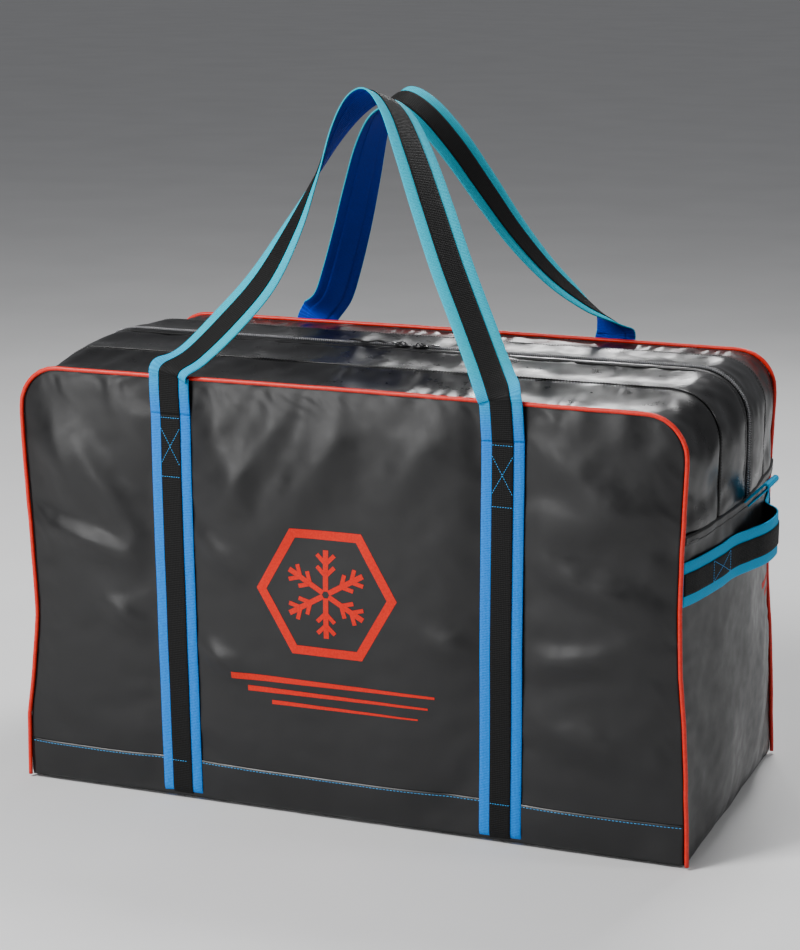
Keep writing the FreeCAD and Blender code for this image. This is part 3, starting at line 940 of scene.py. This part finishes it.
def sewn_strap(side, place, surfaces):
    lean = 0.006 if side == "left" else 0.0
    strap, stripe = striped_webbing(side + "_strap", strap_stations(place, surfaces, lean), under)
    surface, lines = Surface(stripe), []
    for way in (-1, 1):
        y = way * far_y
        pairs = box_stitch(place, y, top=box_top - 0.001, height=0.069,
                           half_width=stripe_width / 2 - stitch_inset)
        pairs.append((Vector((place - 0.012, y, turn_up)), Vector((place + 0.012, y, turn_up))))
        lines += [thrown(surface, start, end, (0, -way, 0)) for start, end in pairs]
    sew(stripe, lines, blue_thread, surface=surface, pitch=0.0030)
    for piece, slot, node in ((strap, "webbing_blue", side + "_strap"),
                              (stripe, "webbing_black", side + "_strap_stripe")):
        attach(piece, "shell")
        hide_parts(node)


def grab_stations(sign, surface):
    """Stations of a grab handle, from the front piping round the end to the back piping."""
    stands = [Vector((0, y * 0.001, stand * 0.001)) for y, stand in grab_route]
    points = []
    for number in range((len(stands) - 1) * 8 + 1):
        route = blended(stands, number / 8)
        hit, _ = surface.hit((sign * far_x, route.y, grab_middle), (-sign, 0, 0))
        x = abs(hit.x) if hit else half_length
        points.append(Vector((sign * (x + route.z), route.y, grab_middle)))
    across = Vector((0, 0, 1))
    # Painted light: the webbing on the ends is turned partly to its lit cyan tint.
    return [(middle, across, outward_of(direction_at(points, number), across, sign), end_painted_light)
            for number, middle in enumerate(points)]


def grab_handle(side, sign, surface):
    strap, stripe = striped_webbing(side + "_grab", grab_stations(sign, surface), black)
    low_row = grab_middle - stripe_width / 2 + stitch_inset
    high_row = grab_middle + stripe_width / 2 - stitch_inset
    surface, lines = Surface(stripe), []
    for first, last in ((-0.130, -0.078), (0.130, 0.182)):
        for start, end in (((first, low_row), (first, high_row)), ((last, low_row), (last, high_row)),
                           ((first, low_row), (last, high_row)), ((first, high_row), (last, low_row))):
            lines.append(thrown(surface, (sign * far_x, *start), (sign * far_x, *end), (-sign, 0, 0)))
    sew(stripe, lines, blue_thread, surface=surface, pitch=0.0030, radius=0.0003)
    start = (sign * (grab_high.x - 0.020), 0, grab_middle)
    end = (sign * (grab_high.x - 0.005), 0, grab_middle)
    for piece, slot, ends in ((strap, "webbing_blue", ""), (stripe, "webbing_black", "_stripe")):
        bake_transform(piece)
        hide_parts(side + "_grab_handle" + ends, side + "_grab_ends" + ends)


# ---------------------------------------------------------------- zipper

def part_at(x):
    """The part of the zipper at x: its straight middle, or its left or right end."""
    if abs(x) <= straight_reach:
        return "middle"
    return "right" if x > 0 else "left"


def chain_parts(points):
    """Splits a line round the bag into its left end, its straight top and its right end."""
    parts = {"left": [], "middle": [], "right": []}
    for point in points:
        parts[part_at(point[0])].append(point)
    return parts


def zip_part(piece, way, part, nodes):
    """Makes the middle piece of the zipper or its panel move as the flap beside it does; an end piece keeps
    its place.
    """
    flap = way + "_zip_flap"
    if part == "middle":
        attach(piece, flap)
    else:
        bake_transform(piece)
    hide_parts(*nodes)


def teeth_row(way, sign):
    """One row of the coil: a small rounded bead for every turn, on the zipper's whole path."""
    pitch, half_turn = 0.0026, 0.0013
    path = evenly(arch_line(0.0, -0.0002), pitch)
    shift = 0.5 if sign > 0 else 0.0
    centre, across = Vector((0, 0, shoulder / 2)), Vector((0, 1, 0))
    shapes = {"left": ([], []), "middle": ([], []), "right": ([], [])}
    # Each ring's distance from the middle in millimetres, and its size
    rings = ((0.2, 0.55), (0.9, 1.0), (2.4, 1.0), (3.1, 0.6))
    around = 6
    for start, end in zip(path[:-1], path[1:]):
        place = Vector(start).lerp(Vector(end), shift)
        along = Vector(end - start).normalized()
        points, faces = shapes[part_at(place.x)]
        up = along.cross(across)
        if up.dot(place - centre) <= 0:
            up = across.cross(along)
        faces += ring_faces(len(points), len(rings), around)
        for away, size in rings:
            for k in range(around):
                angle = 2 * math.pi * k / around
                turn = along * math.cos(angle) * half_turn * 0.72 + up * math.sin(angle) * 0.0016
                points.append(place + across * sign * away * 0.001 + turn * size)
    for part, (points, faces) in shapes.items():
        piece = piece_from(f"{way}_coil_{part}", points, faces, [coil_nylon])
        nodes = [way + "_zip_teeth" if part == "middle" else way + "_zip_teeth_ends"]
        zip_part(piece, way, part, nodes)


def tape(way, sign):
    """The tape under the folded edge of the zip panel, down to the coil."""
    width, thickness, from_middle = 0.0156, 0.0008, 0.0102
    parts = chain_parts(evenly(arch_line(0.0, 0.0032), 0.004))
    centre, across = Vector((0, 0, shoulder / 2)), Vector((0, 1, 0))
    for part, line in parts.items():
        if part == "left":
            line = line + parts["middle"][:1]
        if part == "right":
            line = parts["middle"][-1:] + line
        line = [Vector(point) for point in line]
        stations = []
        for number, point in enumerate(line):
            outward = outward_of(direction_at(line, number), across, 1)
            if outward.dot(point - centre) < 0:
                outward = -outward
            stations.append((point + Vector((0, sign * from_middle, 0)), across, outward, 0))
        piece = webbing(f"{way}_tape_{part}", stations, width, thickness, 0, [tape_cloth] * 2, columns=4)
        nodes = [way + "_zip_tape" if part == "middle" else way + "_zip_tape_ends"]
        zip_part(piece, way, part, nodes)


def solid_from(name, outline, low, high, bevel, materials):
    """An upright prism on an outline of (x, y), its edges rounded."""
    count = len(outline)
    points = [(x, y, z) for z in (low, high) for x, y in outline]
    faces = [tuple(range(count))[::-1], tuple(range(count, 2 * count))]
    faces += [(k, (k + 1) % count, (k + 1) % count + count, k + count) for k in range(count)]
    piece = piece_from(name, points, faces, materials)
    modifier = piece.modifiers.new("round", "BEVEL")
    modifier.width = bevel
    modifier.segments = 3
    modifier.limit_method = "ANGLE"
    apply_modifiers(piece)
    return piece


def rounded_tube(line, radius, around=10, closed=False):
    """Points and faces of a round bar along a line."""
    points = []
    line = [Vector(point) for point in line]
    count = len(line)
    previous = None
    for number, middle in enumerate(line):
        ahead = line[(number + 1) % count] if closed else line[min(number + 1, count - 1)]
        behind = line[number - 1] if closed or number else line[0]
        along = (ahead - behind).normalized()
        side = previous - along * previous.dot(along) if previous else along.orthogonal()
        side.normalize()
        previous = side
        up = along.cross(side)
        for k in range(around):
            angle = 2 * math.pi * k / around
            points.append(middle + (side * math.cos(angle) + up * math.sin(angle)) * radius)
    faces = ring_faces(0, count, around)
    if closed:
        last = (count - 1) * around
        faces[-2:] = [(last + k, last + (k + 1) % around, (k + 1) % around, k) for k in range(around)]
    return points, faces


def slider(side, way):
    """A zip slider: two shaped plates, the web between them, the bridge, and the pull with its loop."""
    low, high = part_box(side + "_slider")
    x, half = (low.x + high.x) / 2, (high.x - low.x) / 2
    back = high.y
    plate_top = low.z + 0.0084
    thick = 0.0016
    outline = [(x - half * math.cos(angle), back - (back - low.y) * math.sin(angle) ** 0.6)
               for angle in (math.pi * k / 12 for k in range(13))]
    plate = solid_from(side + "_slider_body", outline, plate_top - thick, plate_top, 0.0005, [enamel])
    lower = solid_from(side + "_slider_lower_plate", outline, low.z, low.z + thick, 0.0005, [enamel])
    web_reach = half * 0.9
    web_outline = [(x - web_reach, -back), (x + web_reach, -back),
                   (x + web_reach, back), (x - web_reach, back)]
    web = solid_from(side + "_slider_web", web_outline, low.z + thick, plate_top - thick, 0.0002, [enamel])
    pull_y = -0.0046
    arch = [(x + 0.0045 * math.cos(angle), pull_y, plate_top - 0.0004 + 0.0040 * math.sin(angle))
            for angle in (math.pi * k / 14 for k in range(15))]
    bridge = piece_from(side + "_slider_bridge", *rounded_tube(arch, 0.00085), [enamel])
    for piece in (plate, lower, web, bridge):
        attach(piece, side + "_zip_slider")
    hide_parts(side + "_slider")

    pull_low, pull_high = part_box(side + "_pull")
    z = (pull_low.z + pull_high.z) / 2
    length = pull_high.x - pull_low.x
    wire = 0.0008
    half_width = (pull_high.y - pull_low.y) / 2 - wire
    ring = []
    for k in range(28):
        angle = 2 * math.pi * k / 28
        squared = abs(math.cos(angle)) ** 0.6 * math.copysign(1, math.cos(angle))
        ring.append((x + way * (0.0045 + 0.0045 * squared), pull_y + half_width * math.sin(angle), z))
    loop = piece_from(side + "_pull_loop", *rounded_tube(ring, wire, closed=True), [enamel])
    # One side of the grip: share of its half width, and millimetres ahead on a pull of drawn_length
    drawn_length = 0.0268
    shape = [(0.6, 9.2), (1, 11), (1, 16), (0.9, 21), (0.6, 24.6), (0, 25.4)]
    sides = shape + [(-across, ahead) for across, ahead in shape[-2::-1]]
    outline = [(x + way * ahead * 0.001 * length / drawn_length, pull_y + across * half_width)
               for across, ahead in sides]
    grip = solid_from(side + "_pull_grip", outline, z - 0.0007, z + 0.0007, 0.0005, [enamel])
    for piece in (loop, grip):
        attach(piece, side + "_zip_pull")
    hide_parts(side + "_pull")


def ribbon():
    """The cloth ribbon tied to the left pull, a little wavy along its length."""
    low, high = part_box("pull_ribbon")
    y, z = (low.y + high.y) / 2, (low.z + high.z) / 2
    thickness, wave, waviness = 0.0011, 0.0011, 9
    stations = []
    for k in range(31):
        share = k / 30
        rise = wave * math.sin(share * waviness)
        middle = Vector((high.x + 0.003 - (high.x - low.x) * share, y, z + rise))
        slope = wave * waviness * math.cos(share * waviness) / (high.x - low.x)
        stations.append((middle, Vector((0, 1, 0)), Vector((slope, 0, 1)).normalized(), 0))
    piece = webbing("pull_ribbon_cloth", stations, high.y - low.y, thickness, 0, [tape_cloth] * 2,
                    columns=6)
    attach(piece, "left_zip_pull")
    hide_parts("pull_ribbon")


def zip_tab(side, sign):
    """Webbing folded in two at the end of the zipper, standing out and up."""
    low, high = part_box(side + "_zip_tab")
    tab_root = Vector((sign * min(abs(low.x), abs(high.x)), 0, low.z))
    along = Vector((sign, 0, 1)).normalized()
    over = Vector((-sign, 0, 1)).normalized()
    gap, length, thickness = 0.0028, 0.031, 0.0024
    line = [tab_root + along * (length * k / 10) + over * gap for k in range(11)]
    line += [tab_root + along * (length + gap * math.sin(angle)) + over * gap * math.cos(angle)
             for angle in (math.pi * k / 8 for k in range(1, 8))]
    line += [tab_root + along * (length * k / 10) - over * gap for k in range(10, -1, -1)]
    across = Vector((0, 1, 0))
    # Painted light: the tab's webbing is turned partly to its lit cyan tint.
    stations = [(middle, across, outward_of(direction_at(line, number), across, sign), end_painted_light)
                for number, middle in enumerate(line)]
    piece = webbing(side + "_zip_tab_webbing", stations, high.y - low.y, thickness, 0, [blue, under])
    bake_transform(piece)
    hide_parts(side + "_zip_tab")


# ---------------------------------------------------------------- prints

def laid_on(name, polygons, surface, from_point, direction):
    """Flat printed shapes laid on a surface, each cut into small cells that follow it."""
    rise = 0.0003
    points, faces = [], []
    for grid in polygons:
        faces += grid_faces(len(grid), len(grid[0]), len(points))
        for row in grid:
            for place in row:
                hit, normal = surface.hit(from_point(place), direction)
                points.append(hit + normal * rise)
    piece = piece_from(name, points, faces, [print_ink])
    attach(piece, "shell")


def bar(start, end, width, end_width=None, cells=16):
    """A grid of places that fills a straight bar between two points."""
    start, end = np.array(start, float), np.array(end, float)
    along = (end - start) / np.linalg.norm(end - start)
    side = np.array([-along[1], along[0]])
    widths = np.linspace(width, width if end_width is None else end_width, cells + 1)
    return [[start + (end - start) * k / cells + side * widths[k] * across for k in range(cells + 1)]
            for across in (-0.5, 0, 0.5)]


def pointing(angle):
    return np.array([math.cos(angle), math.sin(angle)])


def snow_badge(centre, radius):
    """A generic winter badge: a six-armed snow crystal inside a hexagon."""
    shapes = []
    middle = np.array(centre)
    for k in range(6):
        angle = math.pi / 3 * k
        corner, after = pointing(angle), pointing(angle + math.pi / 3)
        ring = []
        for size in (radius, radius - 0.006, radius - 0.012):
            ring.append([middle + (corner + (after - corner) * n / 14) * size for n in range(15)])
        shapes.append(ring)
        tilt = angle + math.pi / 6
        arm = pointing(tilt)
        shapes.append(bar(middle + arm * 0.004, middle + arm * 0.052, 0.0062))
        for reach in (0.022, 0.036):
            for turn in (-math.pi / 4, math.pi / 4):
                twig = pointing(tilt + turn)
                start = middle + arm * reach
                shapes.append(bar(start + twig * 0.002, start + twig * 0.015, 0.0048, cells=6))
    return shapes


def speed_lines(left, right, middle):
    """Three long tapering lines, one above the other."""
    shapes = []
    spacing = 0.014
    for number, (inset, width) in enumerate(((0.0, 0.0080), (0.020, 0.0065), (0.050, 0.0050))):
        z = middle + spacing - spacing * number
        shapes.append(bar((left + inset, z), (right - inset * 0.4, z), width, width * 0.35, cells=48))
    return shapes


# ---------------------------------------------------------------- the bag

def build_panels():
    points, faces, panels = build_shell()
    points = sag(points, faces, panels)
    points = simulate(points, faces, panels)
    made = {}
    # Key, panel of the shell, name, kind of wrinkles and the node replaced; the order sets the seed
    plan = (
        ("front", "front", "front_panel", "face", "front_panel"),
        ("back", "back", "back_panel", "face", "back_panel"),
        ("left", "left_end", "left_end", "end", "left_end_panel"),
        ("right", "right_end", "right_end", "end", "right_end_panel"),
        ("bottom", "bottom", "bottom", "plain", "bottom_panel"),
        ("front_band", "front_band", "front_outer_band", "band", "front_outer_band"),
        ("back_band", "back_band", "back_outer_band", "band", "back_outer_band"),
    )
    for seed, (key, panel, name, kind, node) in enumerate(plan, 1):
        material, slot = (gloss, "gloss_tarpaulin") if kind == "band" else (satin, "tarpaulin")
        piece = cut_out(name + "_cloth", points, faces, panels, (panel,), material)
        detail_cloth(piece, kind, seed)
        made[key] = (piece, Surface(piece), slot, (node,))
    for way in ("front", "back"):
        wanted = (way + "_zip", way + "_zip_left", way + "_zip_right")
        piece = cut_out(way + "_zip_panel", points, faces, panels, wanted, gloss)
        detail_cloth(piece, "zip", 20)
        made[way + "_zip"] = (piece, Surface(piece), "gloss_tarpaulin", ())
    return made


def turn_up_ends(y):
    """The two ends of the stitch line on the turned-up edge."""
    inset = 0.006
    return [Vector((side_point(0, side, y).x - side * inset, y, turn_up)) for side in (-1, 1)]


def turned_up_edge(way, surface):
    """The bottom panel's edge, lapped over the front or back panel and topstitched."""
    y = way * half_depth
    name = "front" if way < 0 else "back"
    rows = np.linspace(turn_up + 0.003, base + 0.001, 16)
    cells, inset, rise = 160, 0.002, 0.0008
    left, right = side_point(0, -1, y).x + inset, side_point(0, 1, y).x - inset
    points = []
    for z in rows:
        for k in range(cells + 1):
            x = left + (right - left) * k / cells
            hit, _ = surface.hit((x, way * far_y, z), (0, -way, 0))
            place = hit if hit else Vector((x, y, z))
            points.append(Vector((x, place.y + way * rise, z)))
    faces = grid_faces(len(rows), cells + 1, flip=way < 0)
    piece = piece_from(name + "_turned_up_edge", points, faces, [satin])
    solidify(piece, 0.0005, offset=0)
    surface = Surface(piece)
    start, end = turn_up_ends(way * far_y)
    line = thrown(surface, start, end, (0, -way, 0), count=240)
    sew(piece, [line], blue_thread, surface=surface, pitch=0.0042)
    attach(piece, "shell")


def piping(way):
    """Round piping round the front or back panel's side and top seams."""
    y = way * (half_depth + 0.001)
    line = []
    outline = arch_line(way * half_depth, 0.0, low=0)
    for point in evenly(outline, 0.006):
        out = Vector((point[0], 0, point[2] - shoulder / 2))
        out = Vector((math.copysign(1, point[0]), 0, 0)) if point[2] < shoulder - 0.05 else out.normalized()
        wobble = 0.0005 * noise.noise(Vector(point) * 30)
        line.append(Vector((point[0], y, point[2])) + out * (0.0022 + wobble))
    points, faces = rounded_tube(line, 0.0025, around=14)
    name = "front" if way < 0 else "back"
    piece = piece_from(name + "_piping_cord", points, faces, [orange])
    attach(piece, "shell")
    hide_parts(name + "_piping")


def hem(side, sign, surface):
    """The folded, double-stitched hem along the top of a lower end panel."""
    outside = sign * 0.43
    ys = np.linspace(-half_depth, half_depth, 90)
    zs = np.linspace(hem_height - 0.006, hem_height + 0.006, 7)
    points = []
    for row, z in enumerate(zs):
        bulge = 0.0018 if 0 < row < len(zs) - 1 else 0.0002
        for y in ys:
            place, _ = surface.nearest((outside, y, min(z, hem_height - 0.001)))
            points.append((place.x + sign * bulge, y, z))
    faces = grid_faces(len(zs), len(ys), flip=sign < 0)
    piece = piece_from(side + "_hem_fold", points, faces, [satin])
    solidify(piece, 0.0008)
    lines = [[Vector((outside, y, hem_height + offset)) for y in ys] for offset in (-0.004, 0.0035)]
    sew(piece, lines, dark_thread)
    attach(piece, "shell")


def split_along_bag(piece):
    """The piece cut into its left end, middle and right end, with its smooth shading kept."""
    mesh = piece.data
    points, outward = coordinates(mesh), normals(mesh)
    parts = {"left": [], "middle": [], "right": []}
    for face in mesh.polygons:
        parts[part_at(face.center.x)].append(tuple(face.vertices))
    made = {}
    for part, faces in parts.items():
        split, kept = part_of_mesh(f"{piece.name}_{part}", points, faces, list(mesh.materials))
        split.data.normals_split_custom_set_from_vertices([tuple(outward[k]) for k in kept])
        made[part] = split
    bpy.data.objects.remove(piece)
    return made


def finish_zip_panel(way, piece, surface):
    side = -1 if way == "front" else 1
    rows = [evenly(arch_line(side * y), 0.0036) for y in (seam_y - 0.003, zip_edge + 0.006)]
    for part, panel in split_along_bag(piece).items():
        sew(panel, [chain_parts(row)[part] for row in rows], dark_thread, surface=surface)
        zip_part(panel, way, part, [way + ("_flap" if part == "middle" else "_zip_panel_ends")])


def finish_panels(made):
    for key, (piece, surface, slot, nodes) in made.items():
        solidify(piece, cloth_thickness)
        if key.endswith("_zip"):
            finish_zip_panel(key.split("_")[0], piece, surface)
            continue
        if key.endswith("_band"):
            way = -1 if key.startswith("front") else 1
            lines = [arch_line(way * (seam_y + 0.004)), arch_line(way * (half_depth - 0.005))]
            sew(piece, lines, dark_thread, surface=surface)
        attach(piece, "shell")
        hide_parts(*nodes)


def build_bag():
    made = build_panels()
    surfaces = {-1: made["front"][1], 1: made["back"][1]}
    for way, surface in surfaces.items():
        turned_up_edge(way, surface)
        piping(way)
    for side, sign in (("left", -1), ("right", 1)):
        hem(side, sign, made[side][1])
        grab_handle(side, sign, made[side][1])
        zip_tab(side, sign)
    for side, place in zip(("left", "right"), strap_places):
        sewn_strap(side, place, surfaces)
    carry_handle("front", front_handle_route, 1)
    carry_handle("back", back_handle_route, -1)
    for way, sign in (("front", -1), ("back", 1)):
        teeth_row(way, sign)
        tape(way, sign)
    slider("left", -1)
    slider("right", 1)
    ribbon()
    for name, shapes in (("front_snow_badge", snow_badge((-0.015, 0.273), 0.086)),
                         ("front_speed_lines", speed_lines(-0.135, 0.115, 0.150))):
        laid_on(name, shapes, surfaces[-1], lambda place: (place[0], -far_y, place[1]), (0, 1, 0))
    laid_on("right_end_speed_lines", speed_lines(0.097, 0.190, 0.231), made["right"][1],
            lambda place: (far_x, place[0], place[1]), (-1, 0, 0))
    finish_panels(made)


# ---------------------------------------------------------------- studio

def studio():
    reach = 30
    corners = [(-reach, -reach, 0), (reach, -reach, 0), (reach, reach, 0), (-reach, reach, 0)]
    mesh = bpy.data.meshes.new("floor")
    mesh.from_pydata(corners, [], [(0, 1, 2, 3)])
    floor = bpy.data.objects.new("floor", mesh)
    floor_paint = plain_material("floor_paint", (0.62, 0.62, 0.62), (0.66, 0.66, 0.66), 0.7, 3, 0.0001)
    mesh.materials.append(floor_paint)
    bpy.context.scene.collection.objects.link(floor)
    world = bpy.data.worlds.new("studio")
    world.use_nodes = True
    background = world.node_tree.nodes["Background"]
    background.inputs["Color"].default_value = (0.95, 0.96, 1.0, 1)
    background.inputs["Strength"].default_value = 0.22
    bpy.context.scene.world = world
    middle = Vector((0, 0, 0.35))
    for name, place, size, power in (
        ("key", (-1.6, -2.2, 2.6), 1.0, 180),
        ("front", (-1.1, -2.6, 0.9), 0.9, 26),
        ("top", (0.3, 1.3, 2.6), 0.7, 55),
        ("side", (2.6, 0.3, 1.7), 0.4, 16),
        ("back", (-0.60, 2.5, 1.45), 0.35, 10),
    ):
        light = bpy.data.lights.new(name, "AREA")
        light.shape = "SQUARE"
        light.size = size
        light.energy = power
        lamp = bpy.data.objects.new(name, light)
        lamp.location = place
        lamp.rotation_euler = (middle - Vector(place)).to_track_quat("-Z", "Y").to_euler()
        bpy.context.scene.collection.objects.link(lamp)


def camera():
    azimuth, elevation, distance = math.radians(21.3), math.radians(13.3), 2.981
    target = Vector((-0.008, 0, 0.366))
    back = Vector((math.sin(azimuth) * math.cos(elevation), -math.cos(azimuth) * math.cos(elevation),
                   math.sin(elevation)))
    data = bpy.data.cameras.new("camera")
    data.sensor_width = 36
    data.sensor_fit = "HORIZONTAL"
    data.lens = 111.8
    seen = bpy.data.objects.new("camera", data)
    seen.location = target + back * distance
    seen.rotation_euler = (-back).to_track_quat("-Z", "Y").to_euler()
    bpy.context.scene.collection.objects.link(seen)
    bpy.context.scene.camera = seen


camera()
studio()
build_bag()
